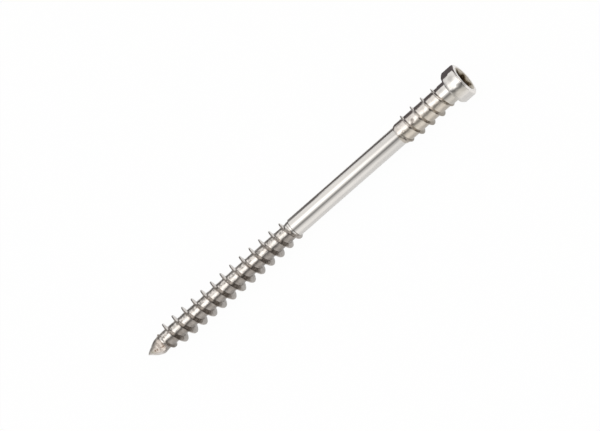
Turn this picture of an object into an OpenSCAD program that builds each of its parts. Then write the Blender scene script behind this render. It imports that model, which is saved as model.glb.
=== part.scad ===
// A stainless self-tapping screw for fixing boards, cold-formed and thread-rolled from one wire: a
// small cylindrical head with a six-lobe recess, a short upper thread below it, a plain shank, a long
// coarse lower thread and a slash-cut point. Both threads are right-handed. The screw lies on its
// head and on its lower thread, as it comes to rest on a table. Millimetres and degrees.

/* [Overall] */
// Length from the point to the face of the head
screw_length = 70; // [62:1:90]
// Diameter of the plain shank
shank_d = 3.36; // [3.2:0.02:3.5]
// Turn of the screw about its own length, from its slash facing straight up. The half step puts the
// middle of one side of the crests straight down, so that the screw lies still.
roll = -7.5; // [-20:0.5:20]

/* [Head] */
// Diameter of the cylindrical head
head_d = 6.08; // [5.8:0.02:7]
// Height of the cylindrical part of the head, with its rounded edge
head_h = 2.25; // [2:0.02:3.4]
// Radius of the rounded edge round the face
head_edge_r = 0.45; // [0.2:0.01:0.6]
// Width of the flat ring under the head, which starts just outside the crests of the upper thread
bearing_w = 0.24; // [0.1:0.01:0.3]
// Height of the bevel between that flat ring and the head's side
bevel_h = 0.5; // [0.3:0.02:0.9]
// Diameter of the neck between the upper thread and the head
neck_d = 3.9; // [3.8:0.02:4]
// Length of the neck, with the cone by which it widens into the head
neck_length = 1.55; // [0.8:0.05:2.5]
// Height of that cone
neck_cone_h = 0.2; // [0.1:0.05:0.5]

/* [Recess] */
// Size of the six-lobe recess across two opposite lobes
recess_d = 3.86; // [3.6:0.02:4.1]
// Size of the recess across two opposite ridges between its lobes
recess_inner_d = 2.8; // [2.6:0.05:2.9]
// Radius of each lobe
lobe_r = 0.3; // [0.25:0.01:0.34]
// Depth of the straight part of the recess
recess_depth = 1.9; // [1.2:0.1:2]
// Depth of the shallow cone at the bottom of the recess
recess_cone_h = 0.35; // [0.2:0.05:0.6]
// Turn of the recess about the screw's length
recess_turn = 32.5; // [0:0.5:59.5]

/* [Lower thread] */
// Length of the lower thread, with the point
lower_length = 32.3; // [24:0.1:40]
// Diameter over the crests of the lower thread
lower_thread_d = 4.8; // [4.5:0.05:5.4]
// Diameter of the core between the ridges of the lower thread
lower_core_d = 2.8; // [2.7:0.02:3]
// Pitch of the lower thread
lower_pitch = 2.15; // [1.9:0.01:2.4]
// Width of the lower thread's ridge at its foot
lower_ridge_w = 0.68; // [0.5:0.02:1]

/* [Upper thread] */
// Length of the upper thread, from where its core starts to the underside of the head
upper_length = 11.75; // [8:0.05:16]
// Diameter over the crests of the upper thread
upper_thread_d = 4.8; // [4.5:0.05:5.4]
// Diameter of the core between the ridges of the upper thread
upper_core_d = 3.7; // [3.6:0.02:3.72]
// Pitch of the upper thread
upper_pitch = 2.22; // [1.9:0.01:2.4]
// Width of the upper thread's ridge at its foot
upper_ridge_w = 0.52; // [0.4:0.02:0.8]
// Turn of the upper thread's start about the screw's length
upper_start_turn = 200; // [0:5:355]

/* [Point] */
// Length of the point, to where the core has its full diameter
point_length = 2.43; // [2:0.01:3.4]
// Swell of the point's outline, where 1 is a straight cone
point_swell = 1.35; // [1:0.05:1.6]
// Distance from the point to the start of the lower thread's ridge
ridge_start = 2.57; // [2.2:0.01:3.5]
// Height of the slash's flat above the screw's centre line at the very point
flat_height = 0.35; // [0.25:0.01:0.45]
// Slope of the flat, away from the centre line
flat_slope = 18; // [14:1:22]
// Radius of the hollow behind the flat
hollow_r = 0.62; // [0.5:0.01:0.8]
// Height of the hollow's bottom above the centre line
hollow_height = 0.58; // [0.5:0.01:0.8]
// Distance from the point to the middle of the hollow
hollow_middle = 2.9; // [2.5:0.1:3.1]

/* [Hidden] */
// Sides of each threaded core, and the width of the flat along each crest
sides = 24;
crest_w = 0.1;
// Depth by which one form of the screw reaches into the next, so that they join
joint_depth = 0.6;
// Chamfers where the shank starts and where the core of the upper thread starts
shank_chamfer = 0.25;
core_chamfer = 0.5;
// Flat of the very tip
tip_d = 0.1;
// How the lower ridge grows and fades: its share of the full height at its start and at its end, and
// the turns over which it grows to the full height, falls from it again, and drops away at last
lower_start_share = 0;
lower_grow_turns = 1.4;
lower_end_share = 0.6;
lower_fade_turns = 2.4;
lower_drop_turns = 0.25;
// The same for the upper ridge
upper_start_share = 0.45;
upper_grow_turns = 1.1;
upper_end_share = 0.35;
upper_fade_turns = 1;
upper_drop_turns = 0.15;
// Rings of the point, and the gap between the last ring before a ridge and the ridge's foot
point_rings = 4;
ring_gap = 0.1;
// Depth at which the upper thread's core starts below the surface of the shank
core_inset = 0.15;
// Gap between the upper thread's crests and the flat ring, so that a washer seats past the thread
bearing_gap = 0.03;
// Bend of the bevel under the head: its share of the way out to the head's side, and of the height
bevel_bend_out = 0.65;
bevel_bend_up = 0.55;
// How far a cutter reaches past the surface that it opens, and into the next cutter
cut_past = 1;
cut_overlap = 0.01;

head_r = head_d / 2;
shank_r = shank_d / 2;
neck_r = neck_d / 2;
bearing_inner_r = upper_thread_d / 2 + bearing_gap;
bearing_r = bearing_inner_r + bearing_w;
lower_core_r = lower_core_d / 2;
upper_core_r = upper_core_d / 2;

// Places along the screw, from the point
bevel_start = screw_length - head_h - bevel_h;
neck_start = bevel_start - neck_length;
upper_core_start = bevel_start - upper_length;
upper_ridge_start = upper_core_start + core_chamfer + ring_gap + upper_ridge_w / 2;
lower_turns = (lower_length - ridge_start) / lower_pitch + lower_drop_turns;
upper_turns = (neck_start - upper_ridge_start) / upper_pitch + 2 * upper_drop_turns;

// Height of a ridge, as a share of its full height, so many turns after its start and before its end
function rise(made, left, start_share, grow_turns, end_share, fade_turns, drop_turns) =
    min(
        1,
        start_share + (1 - start_share) * made / grow_turns,
        end_share + (1 - end_share) * left / fade_turns,
        max(0, left) / drop_turns
    );

// Radius of the core of the lower thread, which swells from the tip to its full size
function lower_core(z) =
    z >= point_length
        ? lower_core_r
        : tip_d / 2 + (lower_core_r - tip_d / 2) * (1 - pow(1 - z / point_length, point_swell));

// Points of a plain ring round the screw
function ring(z, r) = [for (j = [0:sides - 1]) [r * cos(360 * j / sides), r * sin(360 * j / sides), z]];

// Two triangles that cover the four-sided patch a, b, c, d
function patch(a, b, c, d) = [[a, c, b], [a, d, c]];

// Triangles that join one point to each edge of a chain of points
function fan(hub, chain) = [for (i = [0:len(chain) - 2]) [hub, chain[i + 1], chain[i]]];

// Closed skin of a rod with one rolled ridge. Stations follow the helix, each with the ridge's foot,
// the two edges of its crest and its other foot. Plain rings, each a place and a radius, lead up to
// the ridge, and one more closes the far end.
module threaded_rod(lead, tail, start, pitch, turns, core, ridge_top_r, ridge_w, height) {
    stations = ceil(turns * sides);
    offsets = [-ridge_w / 2, -crest_w / 2, crest_w / 2, ridge_w / 2];
    function station_point(i, k) =
        let (s = i / sides, z = start + pitch * s + offsets[k], foot = core(z))
        let (r = (k == 1 || k == 2) ? foot + (ridge_top_r - foot) * height(s, turns - s) : foot)
        [r * cos(360 * s), r * sin(360 * s), z];
    points = concat(
        [for (step = lead) each ring(step[0], step[1])],
        ring(tail[0], tail[1]),
        [for (i = [0:stations], k = [0:3]) station_point(i, k)]
    );
    lead_last = (len(lead) - 1) * sides;
    tail_first = lead_last + sides;
    first_station = tail_first + sides;
    function at(i, k) = first_station + 4 * i + k;
    function on_ring(first, i) = first + i % sides;
    lead_rings = [
        for (first = [0:sides:lead_last - 1], j = [0:sides - 1])
            each patch(
                first + j, on_ring(first, j + 1),
                on_ring(first + sides, j + 1), first + sides + j
            )
    ];
    ridge = [
        for (i = [0:stations - 1], k = [0:2])
            each patch(at(i, k), at(i + 1, k), at(i + 1, k + 1), at(i, k + 1))
    ];
    root = [
        for (i = [0:stations - sides - 1])
            each patch(at(i, 3), at(i + 1, 3), at(i + 1 + sides, 0), at(i + sides, 0))
    ];
    lead_join = [
        for (i = [0:sides - 2])
            each patch(lead_last + i, lead_last + i + 1, at(i + 1, 0), at(i, 0))
    ];
    ridge_begin = fan(
        lead_last + sides - 1,
        [lead_last, at(0, 0), at(0, 1), at(0, 2), at(0, 3), at(sides, 0), at(sides - 1, 0)]
    );
    last_turn = stations - sides;
    tail_join = [
        for (i = [last_turn + 1:stations - 1])
            each patch(at(i, 3), at(i + 1, 3), on_ring(tail_first, i + 1), on_ring(tail_first, i))
    ];
    ridge_end = fan(
        on_ring(tail_first, last_turn + 1),
        [
            on_ring(tail_first, last_turn), at(stations, 3), at(stations, 2), at(stations, 1),
            at(stations, 0), at(last_turn, 3), at(last_turn + 1, 3)
        ]
    );
    caps = [[for (j = [0:sides - 1]) j], [for (j = [sides - 1:-1:0]) tail_first + j]];
    polyhedron(
        points,
        concat(lead_rings, ridge, root, lead_join, ridge_begin, tail_join, ridge_end, caps)
    );
}

// Lower thread with the point
module lower_rod() {
    last_lead = ridge_start - lower_ridge_w / 2 - ring_gap;
    threaded_rod(
        lead = [for (i = [0:point_rings]) let (z = last_lead * i / point_rings) [z, lower_core(z)]],
        tail = [lower_length + lower_ridge_w + joint_depth, lower_core_r],
        start = ridge_start,
        pitch = lower_pitch,
        turns = lower_turns,
        core = function (z) lower_core(z),
        ridge_top_r = lower_thread_d / 2,
        ridge_w = lower_ridge_w,
        height = function (made, left)
            rise(
                made, left, lower_start_share, lower_grow_turns,
                lower_end_share, lower_fade_turns, lower_drop_turns
            )
    );
}

// Upper thread, with the chamfer where its core starts on the shank
module upper_rod() {
    rotate(upper_start_turn)
        threaded_rod(
            lead = [
                [upper_core_start, shank_r - core_inset],
                [upper_core_start + core_chamfer, upper_core_r]
            ],
            tail = [neck_start + upper_ridge_w + joint_depth, upper_core_r],
            start = upper_ridge_start,
            pitch = upper_pitch,
            turns = upper_turns,
            core = function (z) upper_core_r,
            ridge_top_r = upper_thread_d / 2,
            ridge_w = upper_ridge_w,
            height = function (made, left)
                rise(
                    made, left, upper_start_share, upper_grow_turns,
                    upper_end_share, upper_fade_turns, upper_drop_turns
                )
        );
}

// Shank, neck and head, as one turned form
module blank() {
    edge = [
        for (a = [0:22.5:90])
            [head_r - head_edge_r * (1 - cos(a)), screw_length - head_edge_r * (1 - sin(a))]
    ];
    rotate_extrude($fn = 64)
        polygon(concat(
            [
                [0, lower_length],
                [shank_r - shank_chamfer, lower_length],
                [shank_r, lower_length + shank_chamfer],
                [shank_r, neck_start],
                [neck_r, neck_start],
                [neck_r, bevel_start - neck_cone_h],
                [bearing_inner_r, bevel_start],
                [bearing_r, bevel_start],
                [bearing_r + bevel_bend_out * (head_r - bearing_r), bevel_start + bevel_bend_up * bevel_h],
                [head_r, bevel_start + bevel_h]
            ],
            edge,
            [[0, screw_length]]
        ));
}

// Outline of the six-lobe recess: round lobes, and between them ridges that just touch the lobes
module recess_outline() {
    lobe_centre = recess_d / 2 - lobe_r;
    inner_r = recess_inner_d / 2;
    ridge_r =
        (pow(lobe_centre, 2) + pow(inner_r, 2) - 2 * lobe_centre * inner_r * cos(30) - pow(lobe_r, 2))
        / (2 * (lobe_r + lobe_centre * cos(30) - inner_r));
    difference() {
        circle(r = lobe_centre, $fn = 48);
        for (i = [0:5])
            rotate(60 * i + 30) translate([inner_r + ridge_r, 0]) circle(r = ridge_r, $fn = 48);
    }
    for (i = [0:5])
        rotate(60 * i) translate([lobe_centre, 0]) circle(r = lobe_r, $fn = 24);
}

// Six-lobe recess with the shallow cone at its bottom, cut down from the face of the head
module recess() {
    floor_z = screw_length - recess_depth;
    rotate(recess_turn) translate([0, 0, floor_z])
        linear_extrude(recess_depth + cut_past) recess_outline();
    translate([0, 0, floor_z - recess_cone_h])
        cylinder(r1 = 0, r2 = recess_inner_d / 2, h = recess_cone_h + cut_overlap, $fn = 48);
}

// Cutter of the slash at the point: a flat that rises from the tip, and a round hollow behind it
module slash() {
    w = 2 * lower_thread_d;
    translate([-flat_height, -w / 2, 0]) rotate([0, -flat_slope, 0]) translate([-w, 0, -cut_past])
        cube([w, w, hollow_middle + hollow_r + cut_past]);
    translate([-(hollow_height + hollow_r), 0, hollow_middle])
        rotate([90, 0, 0]) cylinder(r = hollow_r, h = w, center = true, $fn = 48);
}

// The whole screw, standing on its point along +Z
module upright_screw() {
    difference() {
        union() {
            blank();
            lower_rod();
            upper_rod();
        }
        recess();
        slash();
    }
}

// Lays the screw down: the head's lower edge and the first full crest touch the table, the head end
// points along +X, and the slash faces up
module lay_down() {
    first_crest = ridge_start + lower_pitch * (lower_grow_turns + 0.5);
    bearing = bevel_start + bevel_h;
    tilt = atan((head_r - lower_thread_d / 2) / (bearing - first_crest));
    drop = head_r * cos(tilt) - bearing * sin(tilt);
    reach = screw_length * cos(tilt) + head_r * sin(tilt);
    translate([-reach / 2, 0, drop]) rotate([0, 90 - tilt, 0]) rotate(roll) children();
}

module screw() {
    color("#b9b6b0") lay_down() upright_screw();
}

screw();
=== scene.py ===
# A stainless self-tapping screw for fixing boards, lying on a pale table. It is made standing on its
# point, in millimetres, from nearly the same sizes as the CAD part, and then laid down in its place.
import math

import bmesh
import bpy
from mathutils import Matrix, Vector, noise


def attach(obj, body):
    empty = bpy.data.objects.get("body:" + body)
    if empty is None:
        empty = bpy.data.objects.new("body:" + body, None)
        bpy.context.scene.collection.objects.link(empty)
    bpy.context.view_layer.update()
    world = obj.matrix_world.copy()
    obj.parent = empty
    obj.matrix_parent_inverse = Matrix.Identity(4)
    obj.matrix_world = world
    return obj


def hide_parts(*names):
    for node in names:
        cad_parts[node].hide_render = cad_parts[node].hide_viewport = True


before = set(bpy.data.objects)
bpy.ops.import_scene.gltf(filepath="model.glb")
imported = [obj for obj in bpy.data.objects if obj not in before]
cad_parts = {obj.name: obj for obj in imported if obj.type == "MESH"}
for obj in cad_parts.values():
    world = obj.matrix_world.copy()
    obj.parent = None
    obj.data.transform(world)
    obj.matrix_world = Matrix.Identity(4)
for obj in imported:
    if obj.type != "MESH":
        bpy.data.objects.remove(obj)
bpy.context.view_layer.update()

# The rolled threads. Dies squeeze two helical ridges up out of the stainless wire, a tall one at the
# point end and a low, short one under the head. Their crests are narrow, their feet run into the core
# in a small fillet, and the rolled metal keeps a slight waviness and painted brown-grey shade.
screw_length = 70
head_h = 2.25
bevel_h = 0.5
bevel_start = screw_length - head_h - bevel_h
neck_start = bevel_start - 1.55
upper_core_start = bevel_start - 11.75
shank_d = 3.36
thread_r = 2.4
lower_length = 32.3
joint_depth = 0.6
lower_ridge = {
    "Start": 2.57,
    "Pitch": 2.15,
    "Core Radius": 1.43,
    "Crest Radius": thread_r,
    "Foot Width": 0.7,
    "Crest Width": 0.16,
    "Wobble": 0.115,
    "Start Share": -0.35,
    "Grow Turns": 1.25,
    "End Share": 0.6,
    "Fade Turns": 2.4,
    "Drop Turns": 0.25,
    "Near End": 0.0,
    "Far End": lower_length + 0.8 + joint_depth,
    "Near Radius": 0.05,
    "Near Length": 2.43,
    "Near Swell": 1.35,
}
lower_ridge["Turns"] = (lower_length - lower_ridge["Start"]) / lower_ridge["Pitch"] + 0.25
upper_ridge = {
    "Start": upper_core_start + 0.86,
    "Pitch": 2.22,
    "Core Radius": 1.87,
    "Crest Radius": thread_r,
    "Foot Width": 0.52,
    "Crest Width": 0.08,
    "Wobble": 0.0,
    "Start Share": 0.45,
    "Grow Turns": 1.1,
    "End Share": 0.35,
    "Fade Turns": 1.0,
    "Drop Turns": 0.15,
    "Near End": upper_core_start,
    "Far End": neck_start + 0.52 + joint_depth,
    "Near Radius": shank_d / 2 - 0.15,
    "Near Length": 0.8,
    "Near Swell": 1.7,
}
upper_ridge["Turns"] = (neck_start - upper_ridge["Start"]) / upper_ridge["Pitch"] + 0.3
upper_start_turn = math.radians(200)
stations_per_turn = 96
points_per_pitch = 26
ridge_points_share = 0.62
crest_softness = 0.1
foot_fillet = 0.16
merge_distance = 0.0005

# The threaded wire lies with its first full crest and the head's lower edge on the table, the head end
# along +X and the slash up
head_r = 3.04
first_crest = 6.655
roll = math.radians(-7.5)
millimetre = 0.001
bearing = bevel_start + bevel_h
tilt = math.atan((head_r - thread_r) / (bearing - first_crest))
drop = head_r * math.cos(tilt) - bearing * math.sin(tilt)
reach = screw_length * math.cos(tilt) + head_r * math.sin(tilt)
laid = (
    Matrix.Scale(millimetre, 4)
    @ Matrix.Translation((-reach / 2, 0, drop))
    @ Matrix.Rotation(math.pi / 2 - tilt, 4, "Y")
    @ Matrix.Rotation(roll, 4, "Z")
)


class Signal:
    """One output socket of a node tree, whose arithmetic adds Math nodes to the tree."""

    def __init__(self, tree, socket=None):
        self.tree = tree
        self.socket = socket

    def node(self, kind, settings=None, inputs=None, out=0):
        """Adds a node: first its settings, then the values or links of its sockets."""
        made = self.tree.nodes.new(kind)
        for name, setting in (settings or {}).items():
            if name == "stops":
                ramp = made.color_ramp.elements
                while len(ramp) < len(setting):
                    ramp.new(0.5)
                for stop, (place, colour) in zip(ramp, setting):
                    stop.position = place
                    stop.color = (*colour, 1)
            else:
                setattr(made, name, setting)
        for key, value in (inputs or {}).items():
            if isinstance(value, Signal):
                self.tree.links.new(value.socket, made.inputs[key])
            else:
                made.inputs[key].default_value = value
        return Signal(self.tree, made.outputs[out])

    def math(self, operation, *values, clamp=False):
        """Adds a Math node with these values or links."""
        settings = {"operation": operation, "use_clamp": clamp}
        return self.node("ShaderNodeMath", settings, dict(enumerate(values)))

    def ramp(self, low, high):
        """0 below low, 1 above high, and a smooth rise between them."""
        return self.node("ShaderNodeMapRange", {"interpolation_type": "SMOOTHSTEP"}, {
            0: self, 1: low, 2: high, 3: 0.0, 4: 1.0,
        })

    def blend(self, colour, other):
        """A colour where the signal is 0, and the other colour where it is 1."""
        return self.node("ShaderNodeMix", {"data_type": "RGBA"}, {0: self, 6: colour, 7: other}, 2)

    def __add__(self, other):
        return self.math("ADD", self, other)

    def __sub__(self, other):
        return self.math("SUBTRACT", self, other)

    def __rsub__(self, other):
        return self.math("SUBTRACT", other, self)

    def __mul__(self, other):
        return self.math("MULTIPLY", self, other)

    def __truediv__(self, other):
        return self.math("DIVIDE", self, other)

    __radd__ = __add__
    __rmul__ = __mul__


class Steel:
    """A steel finish: its material, its shader, and the place of a point in the upright screw, in mm."""

    def __init__(self, name):
        self.material = bpy.data.materials.new(name)
        self.material.use_nodes = True
        self.tree = self.material.node_tree
        self.shader = self.tree.nodes["Principled BSDF"]
        self.shader.inputs["Metallic"].default_value = 1
        flow = Signal(self.tree)
        self.place = flow.node("ShaderNodeMapping", {"vector_type": "TEXTURE"}, {
            "Vector": flow.node("ShaderNodeTexCoord", out="Object"),
            "Location": laid.to_translation(),
            "Rotation": laid.to_euler(),
            "Scale": (millimetre,) * 3,
        })
        self.x, self.y, self.z = [
            flow.node("ShaderNodeSeparateXYZ", inputs={0: self.place}, out=axis) for axis in range(3)
        ]

    def radius(self):
        """Distance of a point from the screw's axis, in mm."""
        return self.x.math("SQRT", self.x * self.x + self.y * self.y)

    def angle(self):
        """Angle of a point round the screw's axis."""
        return self.x.math("ARCTAN2", self.y, self.x)

    def noise(self, scale, detail=2.0, stretch=(1, 1, 1), seed=0.0, roughness=0.5):
        """Smooth noise over the upright screw, with so many features a millimetre."""
        stretched = self.place.node("ShaderNodeVectorMath", {"operation": "MULTIPLY"}, {
            0: self.place, 1: stretch,
        })
        return stretched.node("ShaderNodeTexNoise", {"noise_dimensions": "4D"}, {
            "Vector": stretched, "W": seed, "Scale": scale, "Detail": detail, "Roughness": roughness,
        })

    def near(self, spot, size, fray=0):
        """1 at a spot of the upright screw, fading to 0 at this distance in mm, with frayed edges."""
        away = self.place.node("ShaderNodeVectorMath", {"operation": "DISTANCE"}, {
            0: self.place, 1: spot,
        }, "Value")
        return 1 - (away + fray).ramp(0.3 * size, size)

    def finish(self, colour, roughness, relief, depth):
        """Feeds the shader: colour, roughness, and a relief whose full height is a depth in mm."""
        bump = relief.node("ShaderNodeBump", inputs={
            "Strength": 1.0, "Distance": depth * millimetre, "Height": relief,
        })
        for name, value in (("Base Color", colour), ("Roughness", roughness), ("Normal", bump)):
            self.tree.links.new(value.socket, self.shader.inputs[name])


def thread_tree():
    """Geometry Nodes recipe of a rod with one helical ridge: a flat grid, one column for each station
    along the helix, wound round the axis and closed where it meets itself and at both ends."""
    tree = bpy.data.node_groups.new("Rolled thread", "GeometryNodeTree")
    sockets = tree.interface.new_socket
    sockets("Geometry", in_out="OUTPUT", socket_type="NodeSocketGeometry")
    for name in (*lower_ridge, "Waviness"):
        sockets(name, in_out="INPUT", socket_type="NodeSocketFloat")
    sockets("Stations", in_out="INPUT", socket_type="NodeSocketInt")
    sockets("Seed", in_out="INPUT", socket_type="NodeSocketInt")
    sockets("Material", in_out="INPUT", socket_type="NodeSocketMaterial")
    given = tree.nodes.new("NodeGroupInput")
    size = {socket.name: Signal(tree, socket) for socket in given.outputs if socket.name}
    flow = Signal(tree)
    # A flat grid from -0.5 to 0.5 both ways, a share of the helix along it and of a pitch across it
    grid = flow.node("GeometryNodeMeshGrid", inputs={
        "Vertices X": size["Stations"], "Vertices Y": points_per_pitch + 1,
    })
    place = flow.node("GeometryNodeInputPosition")
    along = place.node("ShaderNodeSeparateXYZ", inputs={0: place}, out=0)
    across = place.node("ShaderNodeSeparateXYZ", inputs={0: place}, out=1)
    pitch = size["Pitch"]
    first_turn = (size["Near End"] - size["Start"]) / pitch - 0.6
    turn = first_turn + (along + 0.5) * (size["Stations"] - 1) / stations_per_turn
    # More of a column's points lie on the ridge than on the root beside it
    off = across.math("ABSOLUTE", across)
    half_ridge = size["Foot Width"] / 2
    half_share = ridge_points_share / 2
    on_ridge = off * half_ridge / half_share
    on_root = half_ridge + (off - half_share) * (pitch / 2 - half_ridge) / (0.5 - half_share)
    past_ridge = off.math("GREATER_THAN", off, half_share)
    beside = on_ridge + past_ridge * (on_root - on_ridge)
    angle = turn * math.tau
    wobble = size["Wobble"] * angle.math("SINE", angle + math.pi + roll)
    height = size["Start"] + turn * pitch + wobble + across.math("SIGN", across) * beside
    low = height.math("MAXIMUM", height, size["Near End"])
    level = low.math("MINIMUM", low, size["Far End"])
    # Core, which swells from its near end to its full size
    share = (level - size["Near End"]) / size["Near Length"]
    rest = share.math("SUBTRACT", 1.0, share, clamp=True)
    swell = 1 - rest.math("POWER", rest, size["Near Swell"])
    core = size["Near Radius"] + (size["Core Radius"] - size["Near Radius"]) * swell
    # Ridge: straight flanks, a softened crest and a fillet at the foot
    half_crest = size["Crest Width"] / 2
    flank = 1 - (beside - half_crest) / (half_ridge - half_crest)
    softened = flank.math("SMOOTH_MIN", flank, 0.985, crest_softness)
    filleted = softened.math("SMOOTH_MAX", softened, 0.0, foot_fillet)
    grown = size["Start Share"] + (1 - size["Start Share"]) * turn / size["Grow Turns"]
    left = size["Turns"] - turn
    fading = size["End Share"] + (1 - size["End Share"]) * left / size["Fade Turns"]
    rise = grown.math("MINIMUM", grown, fading)
    rise = rise.math("MINIMUM", rise, left.math("MINIMUM", left, turn) / size["Drop Turns"])
    rise = rise.math("MINIMUM", rise, 1.0)
    rise = rise.math("MAXIMUM", rise, 0.0)
    lift = filleted * rise * (size["Crest Radius"] - size["Core Radius"])
    # A column's first point past an end still lies on the rod, and the next ones on the axis
    past = height.math("ABSOLUTE", height - level)
    closing = past.math("LESS_THAN", past, pitch / points_per_pitch)
    radius = (core + lift) * closing
    wound = flow.node("ShaderNodeCombineXYZ", inputs={
        0: radius * angle.math("COSINE", angle),
        1: radius * angle.math("SINE", angle),
        2: level,
    })
    placed = grid.node("GeometryNodeSetPosition", inputs={"Geometry": grid, "Position": wound})
    closed = placed.node("GeometryNodeMergeByDistance", inputs={
        "Geometry": placed, "Distance": merge_distance,
    })
    # Waviness that the dies leave
    point = flow.node("GeometryNodeInputPosition")
    wave = point.node("ShaderNodeTexNoise", {"noise_dimensions": "4D"}, {
        "Vector": point, "W": size["Seed"], "Scale": 0.9, "Detail": 2.0, "Roughness": 0.5,
    })
    outward = flow.node("GeometryNodeInputNormal")
    push = outward.node("ShaderNodeVectorMath", {"operation": "SCALE"}, {
        0: outward, "Scale": (wave - 0.5) * size["Waviness"],
    })
    waved = closed.node("GeometryNodeSetPosition", inputs={"Geometry": closed, "Offset": push})
    real = waved.node("GeometryNodeRealizeInstances", inputs={"Geometry": waved})
    finished = real.node("GeometryNodeSetMaterial", inputs={
        "Geometry": real, "Material": size["Material"],
    })
    result = tree.nodes.new("NodeGroupOutput")
    tree.links.new(finished.socket, result.inputs[0])
    return tree


def rolled_thread(name, sizes, seed, waviness):
    """Closed mesh of one threaded rod, standing on the axis, in millimetres."""
    carrier = bpy.data.objects.new(name, bpy.data.meshes.new(name))
    bpy.context.scene.collection.objects.link(carrier)
    modifier = carrier.modifiers.new("Thread", "NODES")
    modifier.node_group = thread_recipe
    values = dict(sizes, Waviness=waviness, Seed=seed, Material=rolled.material)
    # A whole number of stations makes each turn, so that the strip closes on the turn before it
    turns = (sizes["Far End"] - sizes["Near End"]) / sizes["Pitch"] + 1.2
    values["Stations"] = math.ceil(turns * stations_per_turn) + 1
    for item in thread_recipe.interface.items_tree:
        if item.in_out == "INPUT":
            modifier[item.identifier] = values[item.name]
    depsgraph = bpy.context.evaluated_depsgraph_get()
    mesh = bpy.data.meshes.new_from_object(carrier.evaluated_get(depsgraph))
    bpy.data.objects.remove(carrier)
    return mesh


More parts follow.
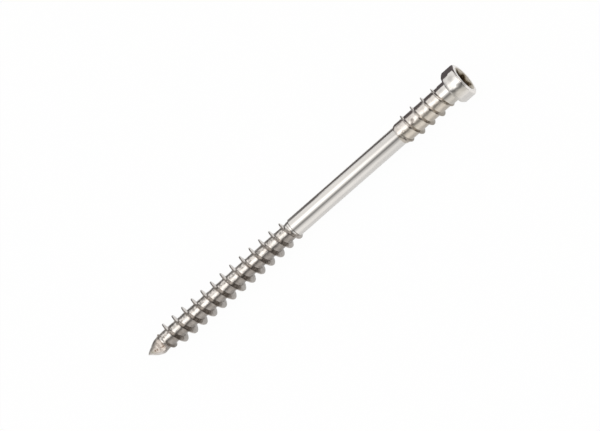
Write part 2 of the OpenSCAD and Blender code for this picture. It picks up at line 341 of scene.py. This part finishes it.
def rolled_finish():
    """Rolled steel: it shines in the roots, and painted brown-grey shade covers the flanks and the side
    that lies down, most of all on the lower thread."""
    steel = Steel("Rolled steel")
    radius = steel.radius()
    upward = steel.y / radius
    downward = 0 - upward
    upper = steel.z.ramp(45, 46)
    lower = 1 - upper
    core = lower_ridge["Core Radius"] + upper * (upper_ridge["Core Radius"] - lower_ridge["Core Radius"])
    climb = (radius - core) / (thread_r - core)
    flank = climb.ramp(0.04, 0.2)
    root = 1 - flank
    patches = steel.noise(1.6, 3.0, seed=2.0)
    grain = steel.noise(3.4, 2.0, seed=5.0)
    # Share of a pitch by which a point lies past the ridge's middle, towards the head
    angle = steel.angle()
    waver = lower_ridge["Wobble"] * angle.math("SINE", angle + math.pi + roll)
    lower_turn = (steel.z - lower_ridge["Start"] - waver) / lower_ridge["Pitch"]
    upper_turn = (steel.z - upper_ridge["Start"]) / upper_ridge["Pitch"] + upper_start_turn / math.tau
    past = lower_turn + upper * (upper_turn - lower_turn) - angle / math.tau
    past = past.math("FRACT", past + 0.5) - 0.5
    beside = past.math("ABSOLUTE", past)
    # Masks of painted shade and highlight: the side that lies down, the flanks towards the head, the
    # first ridge and the point's upper edge
    low_side = (downward + 0.1 * upper).ramp(0.12, 0.3) * steel.z.ramp(2.3, 3.2)
    low_border = low_side * (1 - downward.ramp(0.15, 0.35))
    low_band = upper * downward.ramp(0.02, 0.15) * (1 - downward.ramp(0.32, 0.48))
    head_flank = flank * past.ramp(0.003, 0.025) * (1 - past.ramp(0.3, 0.4))
    head_flank = head_flank * (1 - 0.8 * downward.ramp(0.7, 0.92)) * lower_turn.ramp(0.35, 0.55)
    first_ridge = (1 - lower_turn.ramp(0.85, 1.0)) * low_side * flank
    point_edge = (1 - steel.z.ramp(2.8, 3.3)) * upward.ramp(0.55, 0.72)
    # Painted shade: a dark line along the crest, fainter high up and on the upper thread, where it lies a
    # little towards the point and fades on the last turn
    last_turn = 1 - 0.55 * steel.z.ramp(63.6, 64.2)
    late = 0.04 * upper * downward.ramp(0.2, 0.3) * (1 - downward.ramp(0.5, 0.65))
    off_crest = past.math("ABSOLUTE", past + late)
    crest_line = flank * (1 - off_crest.ramp(0.031 - 0.008 * upper, 0.063 - 0.007 * upper))
    crest_line = crest_line * (1 - 0.4 * lower * upward.ramp(0.5, 0.75)) * (1 - downward.ramp(0.6, 0.8))
    upper_share = 0.25 + 0.6 * downward.ramp(-0.02, 0.2) + 0.3 * upward.ramp(0.45, 0.65)
    crest_line = crest_line * (1 - upper * (1 - upper_share)) * last_turn * lower_turn.ramp(0.55, 0.7)
    # Painted shade in dark lines in the roots of the upper thread: on the ridge's point side, and where
    # the ridge starts
    root_line = low_band * past.ramp(-0.17, -0.14) * (1 - past.ramp(-0.07, -0.04))
    root_line = root_line * steel.z.ramp(57, 57.4) * last_turn
    start_lines = beside.ramp(0.06, 0.09) * (1 - beside.ramp(0.12, 0.16)) * upper * low_side
    start_lines = start_lines * (1 - steel.z.ramp(57.4, 58))
    # Painted brown-grey shade lies on all of these, and a small ring and a few spots are added to it
    painted_shade_and_spots = 0.12 * head_flank * lower * low_side + 0.85 * crest_line + 0.45 * first_ridge
    painted_shade_and_spots = painted_shade_and_spots + (0.62 * lower * low_side + 0.15 * upper * low_border) * root
    painted_shade_and_spots = painted_shade_and_spots + (0.28 + 0.14 * upper) * downward.ramp(0.45, 0.68) * flank
    painted_shade_and_spots = painted_shade_and_spots + 0.22 * upper * downward.ramp(0.65, 0.9) * root
    painted_shade_and_spots = painted_shade_and_spots + 0.7 * root_line + 0.4 * start_lines
    painted_shade_and_spots = painted_shade_and_spots * (1.05 + 0.5 * (patches - 0.5)) + 0.85 * point_edge
    ring_spot = (-1.86, -0.26, 57.1)
    painted_shade_and_spots = painted_shade_and_spots + 0.6 * (steel.near(ring_spot, 0.45) - steel.near(ring_spot, 0.25))
    fray = 0.35 * (grain - 0.5)
    for spot, size in (
        ((-1.12, 0.84, 3.83), 0.17),
        ((-1.38, 0.27, 3.9), 0.16),
        ((-1.38, 0.29, 4.25), 0.19),
        ((-1.86, 0.25, 59.4), 0.5),
        ((-1.86, -0.18, 59.0), 0.4),
    ):
        painted_shade_and_spots = painted_shade_and_spots + 0.75 * steel.near(spot, size, fray * size)
    # Metal: mottled on the lit roots, with painted highlights on the flanks and on the head-side flanks
    # low on the upper thread, and painted beige shade on the upper low side
    mottle = steel.noise(2.7, 2.0, seed=21.0)
    mottled = mottle.ramp(0.45, 0.58) * upward.ramp(0.15, 0.3) * root * lower
    painted_flank_highlight = head_flank * upward.ramp(-0.1, 0.1) * (1 - upward.ramp(0.45, 0.6))
    metal_and_painted_light = patches.ramp(0.42, 0.68).blend((0.68, 0.645, 0.615, 1), (0.58, 0.545, 0.51, 1))
    metal_and_painted_light = (0.85 * mottled).blend(metal_and_painted_light, (0.25, 0.235, 0.22, 1))
    metal_and_painted_light = painted_flank_highlight.blend(metal_and_painted_light, (0.95, 0.92, 0.89, 1))
    metal_and_painted_light = (0.7 * upper * low_side).blend(metal_and_painted_light, (0.54, 0.49, 0.415, 1))
    metal_and_painted_light = (0.8 * low_band * head_flank).blend(metal_and_painted_light, (0.95, 0.9, 0.85, 1))
    # The painted shade and the spots darken the metal to a brown-grey
    colour = painted_shade_and_spots.blend(metal_and_painted_light, (0.12, 0.1, 0.085, 1))
    steel.finish(colour, 0.13 + 0.1 * patches, grain + 0.7 * patches, 0.03)
    return steel


rolled = rolled_finish()
thread_recipe = thread_tree()
lower_rod = rolled_thread("lower_rod", lower_ridge, 3, 0.09)
upper_rod = rolled_thread("upper_rod", upper_ridge, 8, 0.05)
upper_rod.transform(Matrix.Rotation(upper_start_turn, 4, "Z"))

# The blank. One drawn wire is upset into a small cylindrical head with a bevel under it. The shank
# keeps the wire's own bright drawn surface, and the neck below the head is a little thicker.
head_edge_r = 0.45
neck_r = 1.95
neck_cone_h = 0.2
bearing_inner_r = thread_r + 0.03
bearing_r = bearing_inner_r + 0.24
run_out_step = lower_length + 0.17
run_out_pitch = 0.42
edge_steps = 8
turned_sides = 144


def drawn_finish():
    """Drawn steel: bright, with faint lines along the wire and shallow dents on the head."""
    steel = Steel("Drawn steel")
    lines = steel.noise(2.6, 3.0, (4, 4, 0.12), 1.0)
    dents = steel.noise(0.75, 1.5, seed=4.0)
    on_head = steel.z.ramp(bevel_start - 0.2, bevel_start + 0.4)
    colour = lines.ramp(0.3, 0.75).blend((0.7, 0.685, 0.665, 1), (0.64, 0.62, 0.6, 1))
    # Painted shade: the low sides of the neck and head are painted a little darker
    downward = 0 - steel.y / steel.radius()
    side = downward.ramp(0.15, 0.35) * (1 - on_head * downward.ramp(0.5, 0.85))
    side = side * steel.z.ramp(neck_start - 0.1, neck_start + 0.1)
    colour = (0.75 * side).blend(colour, (0.47, 0.445, 0.4, 1))
    # Painted shade in dark rings on the run-out of the lower thread, the last of them at the step up to
    # the shank
    painted_ring_shade = (steel.z + 0.07 * steel.y - run_out_step) * (math.tau / run_out_pitch)
    painted_ring_shade = painted_ring_shade.math("COSINE", painted_ring_shade).ramp(0.5, 0.9)
    painted_ring_shade = painted_ring_shade * (1 - steel.z.ramp(run_out_step + 0.15, run_out_step + 0.25))
    colour = (0.75 * painted_ring_shade).blend(colour, (0.16, 0.135, 0.12, 1))
    # Painted light: the struck face of the head is painted brighter
    face_painted_brighter = steel.z.ramp(screw_length - 0.4, screw_length - 0.1)
    colour = face_painted_brighter.blend(colour, (0.88, 0.85, 0.82, 1))
    dull = 0.6 * steel.near((-2.81, 1.16, 68.8), 0.8, lines - 0.5)
    dull = dull + steel.near((-2.67, -0.78, 69.95), 0.9)
    dull = dull + 0.4 * steel.near((-1.73, 0.89, 66.04), 0.6, lines - 0.5)
    colour = dull.blend(colour, (0.4, 0.385, 0.37, 1))
    humps = 1.3 * steel.near((-2.9, -0.97, 68.5), 0.75) + 2.2 * steel.near((-2.04, 2.25, 69.4), 0.95)
    relief = lines * 0.12 + on_head * ((dents - 0.5) * 4.5 - 0.8) + humps
    steel.finish(colour, 0.1 + 0.06 * lines, relief, 0.03)
    return steel


def finished_mesh(shape, name, steel):
    """A mesh of one steel finish, with its faces turned outwards."""
    bmesh.ops.recalc_face_normals(shape, faces=shape.faces)
    mesh = bpy.data.meshes.new(name)
    shape.to_mesh(mesh)
    shape.free()
    mesh.materials.append(steel.material)
    return mesh


def turned(name, outline, steel):
    """Closed mesh of an outline of (radius, height) pairs, turned round the axis."""
    shape = bmesh.new()
    rings = []
    for radius, height in outline:
        if radius == 0:
            rings.append([shape.verts.new((0, 0, height))] * turned_sides)
        else:
            rings.append([
                shape.verts.new((
                    radius * math.cos(math.tau * side / turned_sides),
                    radius * math.sin(math.tau * side / turned_sides),
                    height,
                ))
                for side in range(turned_sides)
            ])
    for low, high in zip(rings, rings[1:]):
        for side in range(turned_sides):
            after = (side + 1) % turned_sides
            corners = [low[side], low[after], high[after], high[side]]
            shape.faces.new(list(dict.fromkeys(corners)))
    return finished_mesh(shape, name, steel)


def blank_outline():
    """Outline of the run-out of the lower thread with its rings, the shank, neck, bevel and head."""
    outline = [
        (0, lower_length - 1),
        (1.3, lower_length - 1),
        (1.41, lower_length - 0.85),
        (1.47, lower_length - 0.6),
        (1.45, lower_length - 0.52),
        (1.53, lower_length - 0.25),
        (1.51, lower_length - 0.17),
        (1.53, lower_length + 0.12),
        (shank_d / 2, lower_length + 0.24),
        (shank_d / 2, lower_length + 0.4),
        (shank_d / 2, neck_start - 0.1),
        (shank_d / 2, neck_start),
        (neck_r, neck_start),
        (neck_r, bevel_start - neck_cone_h),
        (neck_r + 0.12, bevel_start - 0.12),
        (bearing_inner_r, bevel_start),
        (bearing_r, bevel_start),
        (bearing_r + 0.65 * (head_r - bearing_r), bevel_start + 0.55 * bevel_h),
        (head_r, bevel_start + bevel_h),
    ]
    for step in range(edge_steps + 1):
        bend = math.radians(90 * step / edge_steps)
        outline.append((
            head_r - head_edge_r * (1 - math.cos(bend)),
            screw_length - head_edge_r * (1 - math.sin(bend)),
        ))
    return [*outline, (0, screw_length)]


drawn = drawn_finish()
blank = turned("blank", blank_outline(), drawn)

# The recess, punched into the face: six round lobes with ridges between them that just touch the
# lobes, a shallow cone at the bottom and a chamfer at the mouth. Its inside is painted dark brown as
# shade.
recess_d = 3.86
recess_inner_d = 2.8
lobe_r = 0.3
recess_depth = 1.9
recess_cone_h = 0.35
recess_turn = math.radians(22.5)
recess_floor_r = recess_inner_d / 2 - 0.1
arc_steps = 4
mouth_d = 4.5
mouth_depth = 0.4
past_face = 0.1
recess_shade_brown = (0.17, 0.12, 0.07, 1)


def punched_finish():
    """Punched steel: painted dark brown as shade, and painted darkest deep inside."""
    steel = Steel("Punched steel")
    streaks = steel.noise(2.0, 2.0, (1, 1, 0.4), 6.0)
    inside = streaks.ramp(0.35, 0.65).blend(recess_shade_brown, (0.38, 0.3, 0.21, 1))
    painted_depth_shade = (screw_length - steel.z).ramp(0.35, 0.75)
    colour = painted_depth_shade.blend(inside, recess_shade_brown)
    steel.finish(colour, 0.45 + 0.2 * streaks, streaks, 0.02)
    return steel


def coined_finish():
    """Coined steel of the mouth's chamfer: matt and beige, with painted shade darkening it towards the
    recess's lobes.
    """
    steel = Steel("Coined steel")
    streaks = steel.noise(2.0, 2.0, seed=7.0)
    turn = steel.angle() - recess_turn
    lobes = turn.math("COSINE", 6 * turn)
    away_from_painted_shade = (steel.radius() - 0.22 * lobes + 0.3 * (streaks - 0.5)).ramp(1.6, 2.15)
    colour = away_from_painted_shade.blend((0.17, 0.135, 0.085, 1), (0.54, 0.5, 0.43, 1))
    steel.finish(colour, 0.35 + 0.15 * streaks, streaks, 0.02)
    return steel


def recess_outline():
    """Points round the six-lobe outline, lobe and ridge arcs in turn."""
    half = math.radians(30)
    lobe_centre = recess_d / 2 - lobe_r
    inner_r = recess_inner_d / 2
    ridge_r = (
        lobe_centre**2 + inner_r**2 - 2 * lobe_centre * inner_r * math.cos(half) - lobe_r**2
    ) / (2 * (lobe_r + lobe_centre * math.cos(half) - inner_r))
    lobe = Vector((lobe_centre, 0))
    ridge = (inner_r + ridge_r) * Vector((math.cos(half), math.sin(half)))
    lobe_bend = math.atan2((ridge - lobe).y, (ridge - lobe).x)
    ridge_bend = lobe_bend - half
    points = []
    for arm in range(6):
        spin = Matrix.Rotation(arm * math.tau / 6 + recess_turn, 2)
        for step in range(-arc_steps, arc_steps + 1):
            bend = lobe_bend * step / arc_steps
            points.append(spin @ (lobe + lobe_r * Vector((math.cos(bend), math.sin(bend)))))
        for step in range(-arc_steps, arc_steps + 1):
            bend = math.pi + half - ridge_bend * step / (arc_steps + 1)
            points.append(spin @ (ridge + ridge_r * Vector((math.cos(bend), math.sin(bend)))))
    return points


def recess_cutter():
    """Closed cutter of the recess."""
    outline = recess_outline()
    count = len(outline)
    shape = bmesh.new()
    floor = screw_length - recess_depth
    rings = [
        [shape.verts.new((*(point.normalized() * recess_floor_r), floor)) for point in outline]
    ]
    for height in (floor, screw_length + 1):
        rings.append([shape.verts.new((*point, height)) for point in outline])
    apex = shape.verts.new((0, 0, floor - recess_cone_h))
    for low, high in zip(rings, rings[1:]):
        for side in range(count):
            after = (side + 1) % count
            shape.faces.new((low[side], low[after], high[after], high[side]))
    for side in range(count):
        shape.faces.new((rings[0][side], apex, rings[0][(side + 1) % count]))
    shape.faces.new(rings[-1])
    return finished_mesh(shape, "recess", punched)


punched = punched_finish()
coined = coined_finish()
mouth_slope = (mouth_d / 2 - recess_inner_d / 2) / mouth_depth
mouth = turned("mouth", [
    (0, screw_length - mouth_depth),
    (recess_inner_d / 2, screw_length - mouth_depth),
    (mouth_d / 2, screw_length),
    (mouth_d / 2 + mouth_slope * past_face, screw_length + past_face),
    (0, screw_length + past_face),
], coined)

# The slash at the point: a flat that rises from the tip with a round hollow behind it, which lets the
# screw bite without a drilled hole. The cut is matt, and a little oil has dried on it in specks.
flat_height = 0.35
flat_slope = math.radians(18)
hollow_r = 0.62
hollow_height = 0.82
hollow_middle = 2.9
slash_blend = 0.35
slash_step = 0.09
slash_steps = 36
block_top = 6
nudge = 0.15
burr_r = 0.12


def slash_line():
    """Heights of the slash above the centre line, each after its distance from the tip."""
    line = [(-0.5, 0.2)]
    for step in range(slash_steps):
        z = slash_step * step
        flat = flat_height + z * math.tan(flat_slope)
        sag = max(0, hollow_r**2 - (z - hollow_middle)**2)
        hollow = hollow_height + hollow_r - math.sqrt(sag) if sag else flat + 1
        mix = max(0, slash_blend - abs(flat - hollow)) / slash_blend
        line.append((z, min(flat, hollow) - slash_blend * mix**2 / 4))
    # The hollow's steep end, up to the step
    for step in range(5, 13):
        bend = math.radians(90 * step / 12)
        line.append((
            hollow_middle + hollow_r * math.sin(bend),
            hollow_height + hollow_r * (1 - math.cos(bend)),
        ))
    return [*line, (3.56, 3)]


def cut_finish():
    """Cut steel: matt beige, darker in patches and towards the tip, with brown specks of dried oil."""
    steel = Steel("Cut steel")
    patches = steel.noise(1.5, 3.0, seed=9.0)
    streaks = steel.noise(2.4, 2.0, (1, 1.6, 0.5), 12.0)
    metal = patches.ramp(0.35, 0.65).blend((0.56, 0.5, 0.455, 1), (0.76, 0.7, 0.65, 1))
    metal = streaks.ramp(0.56, 0.7).blend(metal, (0.42, 0.375, 0.335, 1))
    metal = steel.z.ramp(0.5, 1.7).blend((0.42, 0.41, 0.34, 1), metal)
    # Painted shade: a dark margin along the upper edge, where the flat meets the round of the point
    tip_r = lower_ridge["Near Radius"]
    rest = steel.z.math("SUBTRACT", 1.0, steel.z / lower_ridge["Near Length"], clamp=True)
    swell = 1 - rest.math("POWER", rest, lower_ridge["Near Swell"])
    round_r = tip_r + (lower_ridge["Core Radius"] - tip_r) * swell
    painted_edge_shade = (1 - (round_r - steel.radius()).ramp(0.12, 0.4)) * (steel.y + 0.12).ramp(0.05, 0.35)
    metal = (0.8 * painted_edge_shade).blend(metal, (0.17, 0.16, 0.15, 1))
    # Brown specks with frayed edges, the last of them on the burr
    specks = 0
    fray = 0.5 * (streaks - 0.5) + 0.3 * (steel.noise(7.0, 1.0, seed=15.0) - 0.5)
    for spot, size in (
        ((-0.84, -0.27, 1.56), 0.19),
        ((-0.98, -0.38, 1.98), 0.18),
        ((-0.88, -0.48, 2.68), 0.15),
        ((-0.9, -0.6, 3.02), 0.26),
        ((-0.95, -0.2, 3.15), 0.18),
        ((-0.25, 1.42, 3.38), 0.6),
    ):
        specks = specks + steel.near(spot, 1.15 * size, fray)
    colour = (0.85 * specks).blend(metal, (0.22, 0.135, 0.085, 1))
    steel.finish(colour, 0.42 + 0.1 * patches, patches + 0.6 * streaks, 0.06)
    return steel


def slash_cutter():
    """Closed block whose lower face follows the slash from the tip to the step."""
    shape = bmesh.new()
    rows = [[shape.verts.new((-height, y / 10, z)) for y in range(-25, 26)] for z, height in slash_line()]
    for low, high in zip(rows, rows[1:]):
        for a, b, c, d in zip(low, low[1:], high[1:], high):
            shape.faces.new((a, b, c, d))
    back = [
        [shape.verts.new((-block_top, row[end].co.y, row[end].co.z)) for end in (0, -1)]
        for row in (rows[0], rows[-1])
    ]
    shape.faces.new([*rows[0], back[0][1], back[0][0]])
    shape.faces.new([*rows[-1], back[1][1], back[1][0]])
    shape.faces.new([*[row[0] for row in rows], back[1][0], back[0][0]])
    shape.faces.new([*[row[-1] for row in rows], back[1][1], back[0][1]])
    shape.faces.new([back[0][0], back[0][1], back[1][1], back[1][0]])
    return finished_mesh(shape, "slash", cut)


def burr_lump():
    """A small rough lump of metal that the cutter has pushed out at the end of the slash."""
    shape = bmesh.new()
    bmesh.ops.create_icosphere(shape, subdivisions=3, radius=burr_r)
    for corner in shape.verts:
        corner.co *= 1 + 0.3 * noise.noise(corner.co * 8)
    shape.transform(Matrix.Translation((-0.25, 1.36, 3.4)) @ Matrix.Diagonal((1.6, 1.6, 1.3, 1)))
    return finished_mesh(shape, "burr", cut)


def bend_point(mesh):
    """Bends the point of a mesh a little to one side, as the cutter has left it."""
    for vertex in mesh.vertices:
        height = vertex.co.z
        share = min(max((height - 0.3) / 1.1, 0), 1) * min(max(3.4 - height, 0), 1)
        vertex.co.y -= nudge * share * share * (3 - 2 * share)


cut = cut_finish()

# The whole screw is one piece of metal, so its forms are joined and cut into one closed skin, which
# takes the place of the CAD solid.


def joined(mesh, steps):
    """The mesh after each step: one more mesh joined to it or cut from it."""
    carrier = bpy.data.objects.new("screw_body", mesh)
    bpy.context.scene.collection.objects.link(carrier)
    helpers = []
    for operation, other in steps:
        helper = bpy.data.objects.new(other.name, other)
        bpy.context.scene.collection.objects.link(helper)
        helpers.append(helper)
        modifier = carrier.modifiers.new(other.name, "BOOLEAN")
        modifier.operation = operation
        modifier.solver = "MANIFOLD"
        modifier.material_mode = "TRANSFER"
        modifier.object = helper
    depsgraph = bpy.context.evaluated_depsgraph_get()
    result = bpy.data.meshes.new_from_object(carrier.evaluated_get(depsgraph))
    for used in (carrier, *helpers):
        bpy.data.objects.remove(used)
    return result


body = joined(blank, [
    ("UNION", lower_rod),
    ("UNION", upper_rod),
    ("DIFFERENCE", recess_cutter()),
    ("DIFFERENCE", mouth),
    ("DIFFERENCE", slash_cutter()),
    ("UNION", burr_lump()),
])
bend_point(body)
body.transform(laid)
body.shade_smooth()
body.set_sharp_from_angle(angle=math.radians(38))
screw = bpy.data.objects.new("steel_screw", body)
bpy.context.scene.collection.objects.link(screw)
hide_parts("screw")
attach(screw, "root")

# The camera looks down on the lying screw from its head's side, from far away, as the photo does.
target = Vector((-0.47, 0.85, 2.69)) * millimetre
distance = 1.2
seen_width = 0.09688
lean = math.radians(13.9)
rising = math.radians(41.25)
back = Vector((math.sin(lean), 0, math.cos(lean)))
along_screw = Vector((math.cos(lean), 0, -math.sin(lean)))
across_screw = Vector((0, 1, 0))
right = math.cos(rising) * along_screw - math.sin(rising) * across_screw
up = math.sin(rising) * along_screw + math.cos(rising) * across_screw
camera = bpy.data.objects.new("Camera", bpy.data.cameras.new("Camera"))
bpy.context.scene.collection.objects.link(camera)
bpy.context.scene.camera = camera
facing = Matrix((right, up, back)).transposed().to_4x4()
camera.matrix_world = Matrix.Translation(target + distance * back) @ facing
camera.data.sensor_width = 36
camera.data.lens = camera.data.sensor_width * distance / seen_width
camera.data.clip_start = 0.05
camera.data.clip_end = 10

# The studio: a pale paper floor, a world of light and dark bands that run along the screw and give the
# metal its stripes, and a dark card on the floor at the left, which only the metal shows, as its dark
# edge. The camera sees the floor and the world white.
bpy.context.scene.view_settings.view_transform = "Standard"


def stage_sheet(name, corners, height):
    """A flat sheet of the stage with these corners, and its empty node tree."""
    mesh = bpy.data.meshes.new(name)
    mesh.from_pydata([(x, y, height) for x, y in corners], [], [range(len(corners))])
    sheet = bpy.data.objects.new(name, mesh)
    bpy.context.scene.collection.objects.link(sheet)
    material = bpy.data.materials.new(name)
    material.use_nodes = True
    material.node_tree.nodes.clear()
    mesh.materials.append(material)
    return sheet, material.node_tree


def into_output(result, kind):
    """Links a shader to a new output node of its tree."""
    output = result.tree.nodes.new(kind)
    result.tree.links.new(result.socket, output.inputs[0])


floor, floor_tree = stage_sheet("floor", ((-2, -2), (2, -2), (2, 2), (-2, 2)), 0)
flow = Signal(floor_tree)
seen = flow.node("ShaderNodeLightPath", out="Is Camera Ray")
reflected = flow.node("ShaderNodeLightPath", out="Is Glossy Ray")
passed = flow.node("ShaderNodeLightPath", out="Is Transmission Ray")
paper = flow.node("ShaderNodeBsdfDiffuse", inputs={"Color": (0.9, 0.9, 0.9, 1)})
white = flow.node("ShaderNodeEmission", inputs={"Color": (1, 1, 1, 1), "Strength": 1.0})
into_output(flow.node("ShaderNodeMixShader", inputs={
    0: (seen + passed) * 0.97 + reflected * 0.45, 1: paper, 2: white,
}), "ShaderNodeOutputMaterial")

card, card_tree = stage_sheet("dark_card", (
    (-0.4, 0.0034), (0.4, 0.0034), (0.4, 0.6), (-0.131, 0.6), (0.0195, 0.013), (0, 0.013),
    (-0.006, 0.03), (-0.4, 0.03),
), 0.0002)
flow = Signal(card_tree)
place = flow.node("ShaderNodeTexCoord", out="Object")
along_card = place.node("ShaderNodeSeparateXYZ", inputs={0: place}, out="X")
tone = along_card.node("ShaderNodeMapRange", inputs={0: along_card, 1: -0.006, 2: 0.0, 3: 0.0, 4: 1.0})
tone = tone.blend((0.3, 0.29, 0.285, 1), (0.17, 0.157, 0.155, 1))
tone = along_card.ramp(0.018, 0.021).blend(tone, (0.125, 0.11, 0.113, 1))
dark = flow.node("ShaderNodeEmission", inputs={"Color": tone, "Strength": 1.0})
into_output(dark, "ShaderNodeOutputMaterial")
card.visible_camera = False
card.visible_diffuse = False
card.visible_shadow = False
card.visible_transmission = False

world = bpy.data.worlds.new("Studio")
bpy.context.scene.world = world
world.use_nodes = True
world.node_tree.nodes.clear()
flow = Signal(world.node_tree)
direction = flow.node("ShaderNodeTexCoord", out="Generated")
x, y, z = [flow.node("ShaderNodeSeparateXYZ", inputs={0: direction}, out=axis) for axis in range(3)]
over = (0 - y).math("ARCTAN2", 0 - y, z) / math.pi + 0.5


def angle_stop(degrees, level):
    """A stop of the bands at an angle from straight up, with its faintly warm light."""
    return (degrees / 180 + 0.5, (level, level * 0.985, level * 0.965))


band = over.node("ShaderNodeValToRGB", {"stops": [
    angle_stop(-90, 1.15),
    angle_stop(-67, 1.1),
    angle_stop(-53, 1.1),
    angle_stop(-42, 1.35),
    angle_stop(-32, 1.8),
    angle_stop(-13, 1.8),
    angle_stop(-3.5, 1.05),
    angle_stop(9, 0.5),
    angle_stop(19, 0.28),
    angle_stop(31, 0.68),
    angle_stop(44, 0.98),
    angle_stop(60, 1.2),
    angle_stop(90, 1.1),
]}, {0: over})
far_left = 1 - (0 - x).ramp(0.45, 0.85) * 0.35
far_right = 1 - x.ramp(0.3, 0.6) * (1 - x.ramp(0.7, 0.9)) * 0.5
fall = far_left * far_right
seen = flow.node("ShaderNodeLightPath", out="Is Camera Ray")
passed = flow.node("ShaderNodeLightPath", out="Is Transmission Ray")
studio = flow.node("ShaderNodeBackground", inputs={"Color": band, "Strength": fall})
white = flow.node("ShaderNodeBackground", inputs={"Color": (1, 1, 1, 1), "Strength": 1.0})
into_output(flow.node("ShaderNodeMixShader", inputs={
    0: seen + passed, 1: studio, 2: white,
}), "ShaderNodeOutputWorld")
